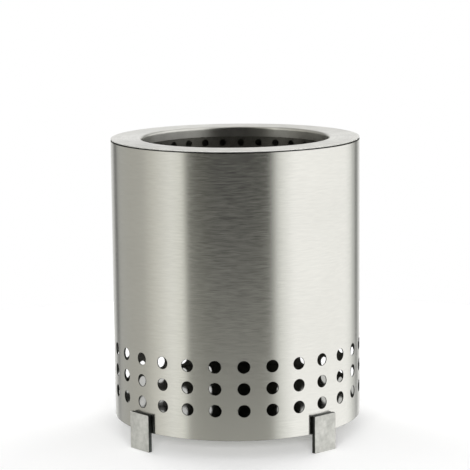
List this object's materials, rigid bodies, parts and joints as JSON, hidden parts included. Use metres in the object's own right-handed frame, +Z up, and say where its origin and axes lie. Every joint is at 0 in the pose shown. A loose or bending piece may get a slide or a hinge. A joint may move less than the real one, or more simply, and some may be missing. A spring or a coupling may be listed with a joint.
{
  "type": "smokeless fire pit",
  "caption": "Portable double-wall stainless steel fire pit with air inlet holes low in the casing, a lift-off top ring, and a lift-out grate and ash pan on flat-bar legs.",
  "frame": {"origin": "on the ground, under the middle of the casing", "axes": "+Z up along the casing's axis, -Y towards the front, +X to the right seen from the front"},
  "size_m": [0.27, 0.27, 0.3253],
  "materials": {
    "casing_steel": "brushed round the casing",
    "ring_steel": "fine brushed",
    "firebox_steel": "mill finish, lightly heat tinted",
    "base_steel": "mill finish",
    "leg_steel": "mill finish, mottled",
    "fastener_steel": "turned, bright",
    "clip_steel": "mill finish",
    "rivet_steel": "bright",
    "pan_steel": "mill finish, lightly sooted",
    "grate_steel": "heat darkened",
    "wire_steel": "drawn wire"
  },
  "bodies": {
    "casing": {"outer_shell": "casing_steel", "firebox_wall": "firebox_steel", "firebox_flange": "firebox_steel", "firebox_floor": "firebox_steel", "firebox_ledge": "firebox_steel", "base_plate": "base_steel", "leg_rear_right": "leg_steel", "leg_rear_left": "leg_steel", "leg_front_left": "leg_steel", "leg_front_right": "leg_steel", "leg_screws": "fastener_steel", "spacer_clip_right": "clip_steel", "spacer_clip_rear": "clip_steel", "spacer_clip_left": "clip_steel", "spacer_clip_front": "clip_steel"},
    "ring": {"top_ring": "ring_steel"},
    "pan": {"ash_pan": "pan_steel", "ash_pan_handle": "pan_steel", "ash_pan_rivets": "rivet_steel"},
    "grate": {"fire_grate": "grate_steel", "ring_saddle": "clip_steel", "saddle_rivets": "rivet_steel"},
    "handle_ring": {"lift_ring": "wire_steel"}
  },
  "joints": [
    {"name": "top_ring_lift", "type": "slide", "parent": "casing", "child": "ring", "axis": [0, 0, 1], "range_m": [0, 0.1]},
    {"name": "ash_pan_lift", "type": "slide", "parent": "casing", "child": "pan", "axis": [0, 0, 1], "range_m": [0, 0.23]},
    {"name": "grate_lift", "type": "slide", "parent": "pan", "child": "grate", "axis": [0, 0, 1], "range_m": [0, 0.2]},
    {"name": "lift_ring_fold", "type": "hinge", "parent": "grate", "child": "handle_ring", "pos_m": [0, -0.012, 0.15378], "axis": [1, 0, 0], "range_deg": [0, 180]}
  ]
}
